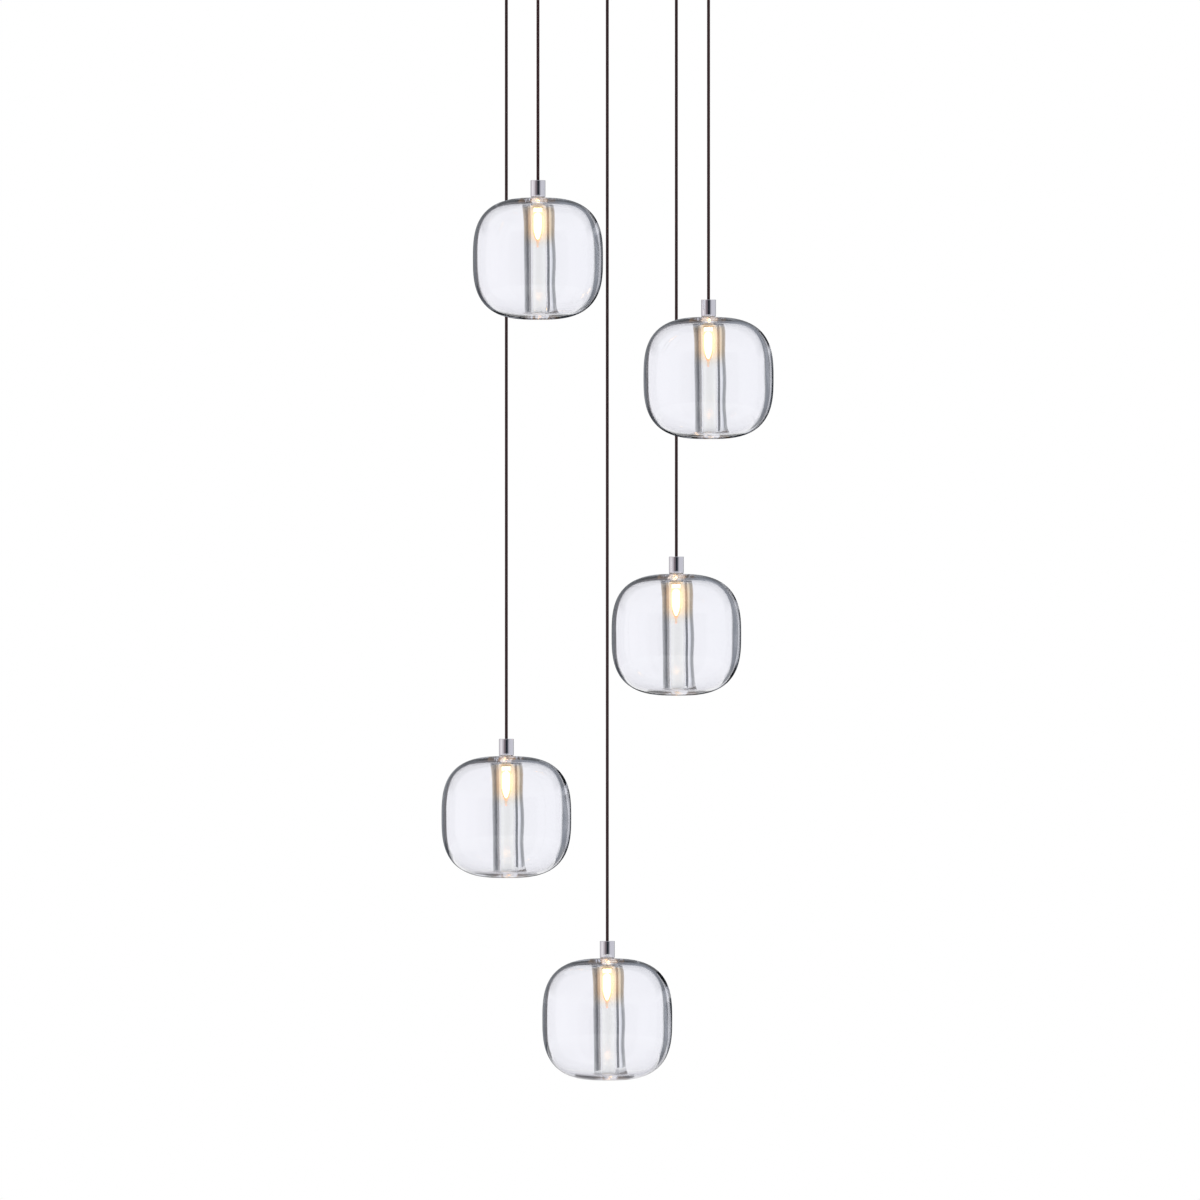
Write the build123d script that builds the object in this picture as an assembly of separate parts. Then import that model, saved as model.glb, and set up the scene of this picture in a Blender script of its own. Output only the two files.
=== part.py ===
"""Five-light cluster pendant: hollow crystal-glass blocks hung on cords from a round ceiling canopy."""

import math
import os

from build123d import *

# Cluster layout, seen from the front (-Y); the ceiling is the plane z = 0
LOWEST_GLASS_DROP = 1017.5
GLASS_RISES = (760.0, 641.0, 384.5, 202.0, 0.0)
OUTLET_EDGE_DISTANCE = 27.5
FIRST_OUTLET_ANGLE = 235.6
OUTLET_STEP_ANGLE = 90.0

# Glass block: round in plan, three tangent arcs in elevation, flat lands top and bottom
GLASS_DIAMETER = 130.0
GLASS_HEIGHT = 122.0
GLASS_WALL = 4.8
CROWN_RADIUS = 150.0
SHOULDER_RADIUS = 41.0
SIDE_RADIUS = 190.0
END_LAND_DIAMETER = 28.0

# Glass tube through the middle of the block, fused to its top and bottom walls
TUBE_DIAMETER = 33.0
TUBE_FLARE = 7.0
BORE_DIAMETER = 14.8
MOUTH_DIAMETER = 14.4
MOUTH_LENGTH = 20.0
MOUTH_ROUND = 1.5
FIXING_HOLE_DIAMETER = 11.2

# Cord, with a ball crimped on the top end and a ferrule on the lower end
CORD_DIAMETER = 3.0
BALL_DIAMETER = 7.0
FERRULE_DIAMETER = 6.6
FERRULE_LENGTH = 4.6
FERRULE_GRIP_DEPTH = 3.6

# Cap over the cord's end, and the hollow screw that clamps the glass to it
CAP_DIAMETER = 14.8
CAP_HEIGHT = 16.5
CAP_TOP_WALL = 2.0
CAP_EDGE_ROUND = 0.6
CAP_CHAMBER_HEIGHT = 5.0
CAP_CHAMBER_DIAMETER = 7.4
SCREW_DIAMETER = 10.0
SCREW_ENGAGEMENT = 9.0
SCREW_BORE_DIAMETER = 8.0
SCREW_FLANGE_DIAMETER = 14.0
SCREW_FLANGE_THICKNESS = 2.0
SPANNER_SLOT_WIDTH = 1.6
SPANNER_SLOT_DEPTH = 1.0
WASHER_DIAMETER = 14.2
WASHER_THICKNESS = 0.8

# Lamp holder in the hollow screw
SOCKET_LENGTH = 11.6
SOCKET_FLANGE_DIAMETER = 10.8
SOCKET_FLANGE_THICKNESS = 1.4
PIN_HOLE_DEPTH = 8.0
PIN_HOLE_CLEARANCE = 0.15

# Capsule bulb: flat pinch, round body narrowing to a drawn-out tip
BULB_DIAMETER = 10.0
BULB_WALL = 0.8
PINCH_WIDTH = 8.4
PINCH_THICKNESS = 3.4
PINCH_HEIGHT = 6.0
SHOULDER_HEIGHT = 4.0
BULB_BODY_LENGTH = 16.0
BULB_TAPER_LENGTH = 10.0
TIP_DIAMETER = 2.6
TIP_LENGTH = 6.0

# Bulb pins, leads and filament
PIN_DIAMETER = 0.7
PIN_SPACING = 4.0
PIN_LENGTH = 7.0
FILAMENT_DIAMETER = 1.8
FILAMENT_LENGTH = 10.0
LEAD_DROP = 5.0

# Canopy cover with its outlets
CANOPY_DIAMETER = 300.0
CANOPY_HEIGHT = 45.0
CANOPY_WALL = 1.5
CANOPY_EDGE_ROUND = 8.0
CANOPY_CEILING_GAP = 0.5

# Ceiling plate, with turned-down tabs at both ends; the supply cable passes beside it
PLATE_THICKNESS = 2.0
PLATE_WIDTH = 100.0
PLATE_COVER_GAP = 1.0
TAB_WIDTH = 30.0
TAB_HEIGHT = 20.0
CEILING_HOLE_DIAMETER = 5.5
CEILING_HOLE_SPACING_X = 230.0
CEILING_HOLE_SPACING_Y = 70.0

# Side screws between cover and tabs
COVER_SCREW_DIAMETER = 4.0
COVER_SCREW_HEAD_DIAMETER = 8.0
COVER_SCREW_HEAD_LENGTH = 5.0
COVER_SCREW_END = 3.0
COVER_SCREW_DROP = 12.0

# Cord grips, each with a round seat for the cord's ball
GRIP_DIAMETER = 12.0
GRIP_FLANGE_DIAMETER = 18.0
GRIP_FLANGE_THICKNESS = 2.5
GRIP_FLANGE_ROUND = 1.0
GRIP_SPIGOT_LENGTH = 13.0
GRIP_OUTLET_DIAMETER = 5.2
GRIP_NUT_WIDTH = 17.0
GRIP_NUT_THICKNESS = 3.5
BALL_CENTRE_HEIGHT = 4.0

# Clearances
RUNNING_CLEARANCE = 0.1
SEAT_CLEARANCE = 0.05
THREAD_CLEARANCE = 0.05
HOLE_CLEARANCE = 0.2

# Heights shared by the pieces of one pendant, measured from the top of its glass
CAP_BASE_Z = WASHER_THICKNESS
CAP_TOP_Z = CAP_BASE_Z + CAP_HEIGHT
CHAMBER_TOP_Z = CAP_TOP_Z - CAP_TOP_WALL
CHAMBER_BASE_Z = CHAMBER_TOP_Z - CAP_CHAMBER_HEIGHT
FERRULE_TOP_Z = CHAMBER_TOP_Z - RUNNING_CLEARANCE
FERRULE_BASE_Z = FERRULE_TOP_Z - FERRULE_LENGTH
CORD_END_Z = FERRULE_TOP_Z - FERRULE_GRIP_DEPTH
SCREW_FLANGE_TOP_Z = -GLASS_WALL - WASHER_THICKNESS
SCREW_BASE_Z = SCREW_FLANGE_TOP_Z - SCREW_FLANGE_THICKNESS
SOCKET_BASE_Z = SCREW_BASE_Z - SOCKET_FLANGE_THICKNESS
PINCH_TOP_Z = SOCKET_BASE_Z - RUNNING_CLEARANCE
SHOULDER_TOP_Z = PINCH_TOP_Z - PINCH_HEIGHT + BULB_WALL

# Heights shared by the canopy's pieces, measured from the ceiling
COVER_BASE_Z = -CANOPY_HEIGHT
BALL_CENTRE_Z = COVER_BASE_Z + BALL_CENTRE_HEIGHT
CORD_TOP_Z = BALL_CENTRE_Z - BALL_DIAMETER / 2 - RUNNING_CLEARANCE


def revolved(points):
    """Solid of revolution about Z from a closed outline of (radius, height) points."""
    outline = make_face(Polyline(*[(r, 0, z) for r, z in points], close=True))
    return revolve(outline, Axis.Z)


def ring(outer_diameter, inner_diameter, base_z, top_z):
    """Plain ring about Z between two heights."""
    height = top_z - base_z
    body = Cylinder(outer_diameter / 2, height) - Cylinder(inner_diameter / 2, height)
    return Pos(0, 0, (base_z + top_z) / 2) * body


def rod(diameter, x, y, base_z, top_z):
    """Round rod parallel to Z between two heights."""
    return Pos(x, y, (base_z + top_z) / 2) * Cylinder(diameter / 2, top_z - base_z)


def arc(centre, radius, start, end):
    """Arc about a (radius, height) centre between two angles, in the plane of the half sections."""
    angles = (start, (start + end) / 2, end)
    return ThreePointArc(
        *[(centre[0] + radius * math.cos(a), 0, centre[1] + radius * math.sin(a)) for a in angles]
    )


def crown_centre_z():
    """Height of the crown arc's centre above the middle of the block, from the edge of the top land."""
    return GLASS_HEIGHT / 2 - math.sqrt(CROWN_RADIUS**2 - (END_LAND_DIAMETER / 2) ** 2)


def block_face(inset):
    """Half section of the block, moved in by the given wall; without a wall it has its flat lands."""
    half_height = GLASS_HEIGHT / 2
    crown_z = crown_centre_z()
    side_x = GLASS_DIAMETER / 2 - SIDE_RADIUS
    to_crown = CROWN_RADIUS - SHOULDER_RADIUS
    to_side = SIDE_RADIUS - SHOULDER_RADIUS
    span = math.hypot(side_x, crown_z)
    along = (span**2 + to_crown**2 - to_side**2) / (2 * span)
    off = math.sqrt(to_crown**2 - along**2)
    shoulder_x = (side_x * along - crown_z * off) / span
    shoulder_z = crown_z - (crown_z * along + side_x * off) / span
    crown_end = math.atan2(shoulder_z - crown_z, shoulder_x)
    side_end = math.atan2(shoulder_z, shoulder_x - side_x)
    crown_start = math.pi / 2 if inset else math.acos(END_LAND_DIAMETER / 2 / CROWN_RADIUS)
    top_z = crown_z + CROWN_RADIUS - inset if inset else half_height
    outline = [
        arc((0, crown_z), CROWN_RADIUS - inset, crown_start, crown_end),
        arc((shoulder_x, shoulder_z), SHOULDER_RADIUS - inset, crown_end, side_end),
        arc((side_x, 0), SIDE_RADIUS - inset, side_end, -side_end),
        arc((shoulder_x, -shoulder_z), SHOULDER_RADIUS - inset, -side_end, -crown_end),
        arc((0, -crown_z), CROWN_RADIUS - inset, -crown_end, -crown_start),
        Line((0, 0, -top_z), (0, 0, top_z)),
    ]
    if not inset:
        outline.append(Line((0, 0, top_z), (END_LAND_DIAMETER / 2, 0, top_z)))
        outline.append(Line((END_LAND_DIAMETER / 2, 0, -top_z), (0, 0, -top_z)))
    return make_face(outline)


def tube_face():
    """Half section of the tube, flared where it is fused to the top and bottom walls."""
    half_height = GLASS_HEIGHT / 2
    tube_radius = TUBE_DIAMETER / 2
    flare_radius = tube_radius + TUBE_FLARE
    root_z = crown_centre_z() + math.sqrt((CROWN_RADIUS - GLASS_WALL) ** 2 - flare_radius**2)
    flare_z = root_z - TUBE_FLARE
    ends = Polyline(
        (flare_radius, 0, root_z),
        (flare_radius, 0, half_height),
        (0, 0, half_height),
        (0, 0, -half_height),
        (flare_radius, 0, -half_height),
        (flare_radius, 0, -root_z),
    )
    return make_face(
        [
            Line((tube_radius, 0, -flare_z), (tube_radius, 0, flare_z)),
            arc((flare_radius, flare_z), TUBE_FLARE, math.pi, math.pi / 2),
            ends,
            arc((flare_radius, -flare_z), TUBE_FLARE, -math.pi / 2, -math.pi),
        ]
    )


def bore_face():
    """Half section of the bore: fixing hole above, then the bore, narrowing to its rounded open mouth."""
    half_height = GLASS_HEIGHT / 2
    bore_top = half_height - GLASS_WALL
    mouth_radius = MOUTH_DIAMETER / 2
    hole_radius = FIXING_HOLE_DIAMETER / 2
    lip_centre = (mouth_radius + MOUTH_ROUND, MOUTH_ROUND - half_height)
    wall = Polyline(
        (mouth_radius, 0, lip_centre[1]),
        (mouth_radius, 0, MOUTH_LENGTH - half_height),
        (BORE_DIAMETER / 2, 0, 0),
        (BORE_DIAMETER / 2, 0, bore_top),
        (hole_radius, 0, bore_top),
        (hole_radius, 0, half_height),
        (0, 0, half_height),
        (0, 0, -half_height),
        (lip_centre[0], 0, -half_height),
    )
    return make_face([wall, arc(lip_centre, MOUTH_ROUND, -math.pi / 2, -math.pi)])


def make_glass():
    """Hollow block, open round the middle at top and bottom where the flared tube is fused in."""
    shell = block_face(0) - block_face(GLASS_WALL) - tube_face()
    return Pos(0, 0, -GLASS_HEIGHT / 2) * revolve(shell, Axis.Z)


def make_glass_tube():
    """Thick tube with flared ends that close the block; its bore narrows to the open mouth below."""
    tube = tube_face() & block_face(0)
    return Pos(0, 0, -GLASS_HEIGHT / 2) * revolve(tube - bore_face(), Axis.Z)


def make_cap():
    """Turned cap: cord hole in the top, a chamber for the ferrule, a threaded bore below."""
    screw_bore = (SCREW_DIAMETER + 2 * THREAD_CLEARANCE) / 2
    cord_hole = CORD_DIAMETER / 2 + RUNNING_CLEARANCE
    cap = revolved(
        [
            (screw_bore, CAP_BASE_Z),
            (CAP_DIAMETER / 2, CAP_BASE_Z),
            (CAP_DIAMETER / 2, CAP_TOP_Z),
            (cord_hole, CAP_TOP_Z),
            (cord_hole, CHAMBER_TOP_Z),
            (CAP_CHAMBER_DIAMETER / 2, CHAMBER_TOP_Z),
            (CAP_CHAMBER_DIAMETER / 2, CHAMBER_BASE_Z),
            (screw_bore, CHAMBER_BASE_Z),
        ]
    )
    top_edge = cap.edges().filter_by(GeomType.CIRCLE).group_by(Axis.Z)[-1].sort_by(SortBy.RADIUS)[-1]
    return fillet(top_edge, CAP_EDGE_ROUND)


def make_retainer():
    """Hollow screw put in from below: its flange carries the glass, two slots take a spanner."""
    screw_top = CAP_BASE_Z + SCREW_ENGAGEMENT
    shank = ring(SCREW_DIAMETER, SCREW_BORE_DIAMETER, SCREW_FLANGE_TOP_Z, screw_top)
    flange = ring(SCREW_FLANGE_DIAMETER, SCREW_BORE_DIAMETER, SCREW_BASE_Z, SCREW_FLANGE_TOP_Z)
    slot = Box(SCREW_FLANGE_DIAMETER, SPANNER_SLOT_WIDTH, SPANNER_SLOT_DEPTH)
    slot = Pos(0, 0, SCREW_BASE_Z + SPANNER_SLOT_DEPTH / 2) * slot
    return shank + flange - slot


def make_washers():
    """Two soft rings, one on each side of the glass's top wall."""
    inner_diameter = SCREW_DIAMETER + 2 * RUNNING_CLEARANCE
    upper = ring(WASHER_DIAMETER, inner_diameter, 0, WASHER_THICKNESS)
    lower = ring(WASHER_DIAMETER, inner_diameter, SCREW_FLANGE_TOP_Z, -GLASS_WALL)
    return Compound(children=[upper, lower])


def make_socket():
    """Two-pin lamp holder: a plug inside the hollow screw with a flange below it."""
    body = rod(SCREW_BORE_DIAMETER - 2 * RUNNING_CLEARANCE, 0, 0, SCREW_BASE_Z, SCREW_BASE_Z + SOCKET_LENGTH)
    flange = rod(SOCKET_FLANGE_DIAMETER, 0, 0, SOCKET_BASE_Z, SCREW_BASE_Z)
    hole_diameter = PIN_DIAMETER + 2 * PIN_HOLE_CLEARANCE
    socket = body + flange
    for side in (-1, 1):
        socket -= rod(hole_diameter, side * PIN_SPACING / 2, 0, SOCKET_BASE_Z, SOCKET_BASE_Z + PIN_HOLE_DEPTH)
    return socket


def bulb_outline(inset):
    """Half outline of the capsule, moved in by the given wall thickness, as (radius, height) points."""
    radius = BULB_DIAMETER / 2 - inset
    body_top = SHOULDER_TOP_Z - SHOULDER_HEIGHT
    body_base = body_top - BULB_BODY_LENGTH
    taper_base = body_base - BULB_TAPER_LENGTH
    tip_radius = TIP_DIAMETER / 2
    points = [(0, SHOULDER_TOP_Z - inset)]
    points.append((PINCH_THICKNESS / 2, SHOULDER_TOP_Z - inset))
    points.append((radius, body_top))
    points.append((radius, body_base))
    points.append((tip_radius, taper_base + inset))
    if inset:
        points.append((0, taper_base + inset))
    else:
        points.append((tip_radius, taper_base - TIP_LENGTH + tip_radius))
        points.append((0, taper_base - TIP_LENGTH))
    return points


def make_filament():
    """Two pins led through the pinch, one short and one long lead, and the upright filament between them."""
    half_spacing = PIN_SPACING / 2
    filament_top = SHOULDER_TOP_Z - SHOULDER_HEIGHT - LEAD_DROP
    filament_base = filament_top - FILAMENT_LENGTH
    pin_top = PINCH_TOP_Z + PIN_LENGTH
    wires = rod(PIN_DIAMETER, -half_spacing, 0, filament_top, pin_top)
    wires += rod(PIN_DIAMETER, half_spacing, 0, filament_base, pin_top)
    wires += rod(FILAMENT_DIAMETER, 0, 0, filament_base, filament_top)
    arm = Box(half_spacing, PIN_DIAMETER, PIN_DIAMETER)
    wires += Pos(-half_spacing / 2, 0, filament_top - PIN_DIAMETER / 2) * arm
    wires += Pos(half_spacing / 2, 0, filament_base + PIN_DIAMETER / 2) * arm
    return wires


def make_bulb(filament):
    """Thin capsule closed by a flat pinch that holds the two pins."""
    envelope = revolved(bulb_outline(0))
    pinch = Pos(0, 0, PINCH_TOP_Z - PINCH_HEIGHT / 2) * Box(PINCH_WIDTH, PINCH_THICKNESS, PINCH_HEIGHT)
    pinch = fillet(pinch.edges().filter_by(Axis.Z), PINCH_THICKNESS / 3)
    return envelope + pinch - revolved(bulb_outline(BULB_WALL)) - filament


def make_ferrule():
    """Crimped slug with a blind hole that grips the cord's end."""
    ferrule = rod(FERRULE_DIAMETER, 0, 0, FERRULE_BASE_Z, FERRULE_TOP_Z)
    return ferrule - rod(CORD_DIAMETER, 0, 0, CORD_END_Z, FERRULE_TOP_Z)


def make_cover(outlets):
    """Spun cup, open to the ceiling, with an outlet hole for each grip and holes for the side screws."""
    radius = CANOPY_DIAMETER / 2
    top_z = -CANOPY_CEILING_GAP
    height = top_z - COVER_BASE_Z
    outer = Pos(0, 0, (top_z + COVER_BASE_Z) / 2) * Cylinder(radius, height)
    outer = fillet(outer.edges().group_by(Axis.Z)[0], CANOPY_EDGE_ROUND)
    inner = Cylinder(radius - CANOPY_WALL, height - CANOPY_WALL)
    inner = Pos(0, 0, (top_z + COVER_BASE_Z + CANOPY_WALL) / 2) * inner
    inner = fillet(inner.edges().group_by(Axis.Z)[0], CANOPY_EDGE_ROUND - CANOPY_WALL)
    cover = outer - inner
    for x, y in outlets:
        cover -= rod(GRIP_DIAMETER + 2 * RUNNING_CLEARANCE, x, y, COVER_BASE_Z, COVER_BASE_Z + CANOPY_WALL)
    for turn in screw_turns():
        hole = Cylinder(COVER_SCREW_DIAMETER / 2 + HOLE_CLEARANCE, CANOPY_WALL * 2)
        cover -= turn * Pos(radius - CANOPY_WALL / 2, 0, -COVER_SCREW_DROP) * Rot(0, 90, 0) * hole
    return cover


def screw_turns():
    """Turn about Z of each side screw, one at each end of the ceiling plate."""
    return [Rot(0, 0, angle) for angle in (0, 180)]


def plate_radius():
    """Radius of the ceiling plate's ends, which stay clear of the cover's wall."""
    return CANOPY_DIAMETER / 2 - CANOPY_WALL - PLATE_COVER_GAP


def tab_face_radius():
    """Distance from the axis to the flat outer face of the ceiling plate's tabs."""
    return math.sqrt(plate_radius() ** 2 - (TAB_WIDTH / 2) ** 2)


def make_ceiling_plate():
    """Flat plate screwed to the ceiling, with turned-down tabs that carry the cover."""
    middle = Pos(0, 0, -PLATE_THICKNESS / 2)
    disc = Cylinder(plate_radius(), PLATE_THICKNESS)
    plate = middle * (disc & Box(CANOPY_DIAMETER, PLATE_WIDTH, PLATE_THICKNESS))
    hole = Cylinder(CEILING_HOLE_DIAMETER / 2, PLATE_THICKNESS)
    for x in (-CEILING_HOLE_SPACING_X / 2, CEILING_HOLE_SPACING_X / 2):
        for y in (-CEILING_HOLE_SPACING_Y / 2, CEILING_HOLE_SPACING_Y / 2):
            plate -= middle * Pos(x, y, 0) * hole
    tab_centre = tab_face_radius() - PLATE_THICKNESS / 2
    tab = Pos(tab_centre, 0, -TAB_HEIGHT / 2) * Box(PLATE_THICKNESS, TAB_WIDTH, TAB_HEIGHT)
    screw_hole = Cylinder(COVER_SCREW_DIAMETER / 2 + THREAD_CLEARANCE, PLATE_THICKNESS)
    tab -= Pos(tab_centre, 0, -COVER_SCREW_DROP) * Rot(0, 90, 0) * screw_hole
    for turn in screw_turns():
        plate += turn * tab
    return plate


def make_cover_screws():
    """Round-headed side screws through the cover into the tabs."""
    head_face = CANOPY_DIAMETER / 2 + SEAT_CLEARANCE
    shank_end = tab_face_radius() - PLATE_THICKNESS - COVER_SCREW_END
    shank = Cylinder(COVER_SCREW_DIAMETER / 2, head_face - shank_end)
    head = Cylinder(COVER_SCREW_HEAD_DIAMETER / 2, COVER_SCREW_HEAD_LENGTH)
    head = fillet(head.edges().group_by(Axis.Z)[-1], CAP_EDGE_ROUND)
    screw = Pos((head_face + shank_end) / 2, 0, -COVER_SCREW_DROP) * Rot(0, 90, 0) * shank
    screw += Pos(head_face + COVER_SCREW_HEAD_LENGTH / 2, 0, -COVER_SCREW_DROP) * Rot(0, 90, 0) * head
    return Compound(children=[turn * screw for turn in screw_turns()])


def make_grip():
    """Flanged bush through the cover with a round seat for the ball and an outlet for the cord."""
    flange_base = COVER_BASE_Z - GRIP_FLANGE_THICKNESS
    spigot_top = COVER_BASE_Z + GRIP_SPIGOT_LENGTH
    flange = rod(GRIP_FLANGE_DIAMETER, 0, 0, flange_base, COVER_BASE_Z)
    flange = fillet(flange.edges().group_by(Axis.Z)[0], GRIP_FLANGE_ROUND)
    grip = flange + rod(GRIP_DIAMETER, 0, 0, COVER_BASE_Z, spigot_top)
    seat_diameter = BALL_DIAMETER + 2 * SEAT_CLEARANCE
    grip -= rod(GRIP_OUTLET_DIAMETER, 0, 0, flange_base, BALL_CENTRE_Z)
    grip -= rod(seat_diameter, 0, 0, BALL_CENTRE_Z, spigot_top)
    return grip - Pos(0, 0, BALL_CENTRE_Z) * Sphere(seat_diameter / 2)


def make_grip_nut():
    """Hexagon nut that clamps a grip to the cover from inside."""
    base_z = COVER_BASE_Z + CANOPY_WALL
    nut = extrude(RegularPolygon(GRIP_NUT_WIDTH / 2, 6, major_radius=False), GRIP_NUT_THICKNESS)
    nut = Pos(0, 0, base_z) * nut
    return nut - rod(GRIP_DIAMETER + 2 * THREAD_CLEARANCE, 0, 0, base_z, base_z + GRIP_NUT_THICKNESS)


glass_drops = [LOWEST_GLASS_DROP - rise for rise in GLASS_RISES]
pendant_numbers = range(1, len(glass_drops) + 1)
outlet_radius = CANOPY_DIAMETER / 2 - OUTLET_EDGE_DISTANCE
outlets = []
for index in range(len(glass_drops) - 1):
    angle = math.radians(FIRST_OUTLET_ANGLE + OUTLET_STEP_ANGLE * index)
    outlets.append((outlet_radius * math.cos(angle), outlet_radius * math.sin(angle)))
outlets.append((0.0, 0.0))

filament = make_filament()
pendant_pieces = {
    "cap": make_cap(),
    "retainer": make_retainer(),
    "washers": make_washers(),
    "socket": make_socket(),
    "glass": make_glass(),
    "glass_tube": make_glass_tube(),
    "cord_ferrule": make_ferrule(),
    "bulb": make_bulb(filament),
    "filament": filament,
}

nodes = {
    "ceiling_plate": make_ceiling_plate(),
    "canopy_cover": make_cover(outlets),
    "cover_screws": make_cover_screws(),
    "cord_grips": Compound(children=[Pos(x, y, 0) * make_grip() for x, y in outlets]),
    "grip_nuts": Compound(children=[Pos(x, y, 0) * make_grip_nut() for x, y in outlets]),
}
for number, drop, (x, y) in zip(pendant_numbers, glass_drops, outlets):
    nodes[f"cord_ball_{number}"] = Pos(x, y, BALL_CENTRE_Z) * Sphere(BALL_DIAMETER / 2)
    nodes[f"cord_{number}"] = rod(CORD_DIAMETER, x, y, CORD_END_Z - drop, CORD_TOP_Z)
    for name, piece in pendant_pieces.items():
        nodes[f"{name}_{number}"] = Pos(x, y, -drop) * piece

os.makedirs("parts", exist_ok=True)
for name, piece in nodes.items():
    export_step(piece, f"parts/{name}.step")
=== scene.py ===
import math

import bpy
from mathutils import Matrix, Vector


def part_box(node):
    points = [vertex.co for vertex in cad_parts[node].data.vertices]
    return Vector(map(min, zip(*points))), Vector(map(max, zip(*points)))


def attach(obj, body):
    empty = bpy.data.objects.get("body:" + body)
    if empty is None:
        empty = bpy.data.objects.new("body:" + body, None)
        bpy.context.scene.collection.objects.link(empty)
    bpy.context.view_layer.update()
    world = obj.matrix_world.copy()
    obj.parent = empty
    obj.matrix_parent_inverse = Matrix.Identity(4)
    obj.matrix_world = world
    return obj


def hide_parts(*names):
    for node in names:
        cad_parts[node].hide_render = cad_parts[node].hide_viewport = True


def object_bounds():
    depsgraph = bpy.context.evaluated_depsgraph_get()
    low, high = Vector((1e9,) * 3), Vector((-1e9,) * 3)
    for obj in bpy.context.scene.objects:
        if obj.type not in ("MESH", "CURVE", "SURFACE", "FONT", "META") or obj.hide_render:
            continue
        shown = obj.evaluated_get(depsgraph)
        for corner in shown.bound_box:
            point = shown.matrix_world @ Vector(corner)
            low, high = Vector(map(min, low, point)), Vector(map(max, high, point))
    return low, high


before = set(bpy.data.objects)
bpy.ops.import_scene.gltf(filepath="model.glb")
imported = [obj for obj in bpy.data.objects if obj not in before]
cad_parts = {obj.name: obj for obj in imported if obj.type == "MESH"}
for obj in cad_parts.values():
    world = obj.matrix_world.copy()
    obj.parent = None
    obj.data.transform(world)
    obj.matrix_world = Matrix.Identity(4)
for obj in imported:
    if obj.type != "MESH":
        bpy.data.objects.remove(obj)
cad_low, cad_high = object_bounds()


# Ceiling plate and grip nuts: pressed from zinc-plated steel sheet and bar.
# The plate is screwed flat to the ceiling, and the nuts clamp the grips from inside the cover.
class Socket:
    """An output socket of a shader. Sums and products of sockets add Math nodes to its tree."""

    def __init__(self, tree, socket=None):
        self.tree = tree
        self.socket = socket

    def add(self, kind, settings, inputs, output=0):
        """A new node of the given kind with its settings and inputs, as the socket of one output."""
        node = self.tree.nodes.new("ShaderNode" + kind)
        for name, value in settings.items():
            if name == "stops":
                ramp = node.color_ramp.elements
                while len(ramp) < len(value):
                    ramp.new(1.0)
                for stop, (position, colour) in zip(ramp, value):
                    stop.position = position
                    stop.color = (*colour, 1.0)
            else:
                setattr(node, name, value)
        self.wire(node, inputs)
        return Socket(self.tree, node.outputs[output])

    def wire(self, node, inputs):
        """Sets or links the inputs of a node."""
        for name, value in inputs.items():
            if isinstance(value, Socket):
                self.tree.links.new(value.socket, node.inputs[name])
            else:
                node.inputs[name].default_value = value

    def math(self, operation, first, second):
        return self.add("Math", {"operation": operation}, {0: first, 1: second})

    def __add__(self, other):
        return self.math("ADD", self, other)

    def __radd__(self, other):
        return self.math("ADD", other, self)

    def __sub__(self, other):
        return self.math("SUBTRACT", self, other)

    def __rsub__(self, other):
        return self.math("SUBTRACT", other, self)

    def __mul__(self, other):
        return self.math("MULTIPLY", self, other)

    def __rmul__(self, other):
        return self.math("MULTIPLY", other, self)

    def __gt__(self, other):
        return self.math("GREATER_THAN", self, other)

    def noise(self, scale, detail=2.0, stretch=(1.0, 1.0, 1.0)):
        """Noise from 0 to 1 in the row frame, with its features about 1 / scale metres apart."""
        place = self.add("TexCoord", {}, {}, "Object")
        place = self.add("Mapping", {}, {"Vector": place, "Scale": stretch})
        return self.add("TexNoise", {}, {"Vector": place, "Scale": scale, "Detail": detail})

    def blend(self, factor, first, second):
        """A colour between two colours."""
        colours = {6: first, 7: second}
        for key, colour in colours.items():
            if not isinstance(colour, Socket):
                colours[key] = (*colour, 1.0)
        return self.add("Mix", {"data_type": "RGBA"}, {"Factor": factor, **colours}, 2)

    def bump(self, height, distance, strength=1.0):
        """A surface normal from a height."""
        return self.add("Bump", {}, {"Height": height, "Distance": distance, "Strength": strength})


def new_finish(name):
    """A new material, with its main shader and a start for its sockets."""
    finish = bpy.data.materials.new(name)
    finish.use_nodes = True
    return finish, finish.node_tree.nodes["Principled BSDF"], Socket(finish.node_tree)


def dress(node_name, finish):
    """Gives a solid of the frame its finish."""
    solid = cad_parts[node_name]
    solid.data.materials.clear()
    solid.data.materials.append(finish)


zinc, shader, maker = new_finish("zinc_plate")
spangle = maker.noise(90.0, 3.0)
rolling = maker.noise(60.0, 2.0, (1.0, 14.0, 14.0))
maker.wire(
    shader,
    {
        "Base Color": maker.blend(spangle, (0.58, 0.6, 0.64), (0.72, 0.73, 0.76)),
        "Metallic": 1.0,
        "Roughness": 0.28 + 0.22 * rolling,
        "Normal": maker.bump(rolling, 0.0001, 0.4),
    },
)
dress("ceiling_plate", zinc)
dress("grip_nuts", zinc)


# Canopy cover: a cup spun from brass sheet and chrome plated, open towards the ceiling.
# Its flat face has an outlet for each cord, and two side screws hold it to the ceiling plate.
COVER_WALL = 0.0015
COVER_EDGE_ROUND = 0.008
ROUND_STEPS = 128
OUTLET_RADIUS = 0.0061
SIDE_HOLE_RADIUS = 0.0022
MERGE_DISTANCE = 1e-6


def deselect():
    bpy.ops.object.select_all(action="DESELECT")


def work_on(piece):
    """Selects one piece alone and makes it the active one."""
    deselect()
    piece.select_set(True)
    bpy.context.view_layer.objects.active = piece


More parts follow.
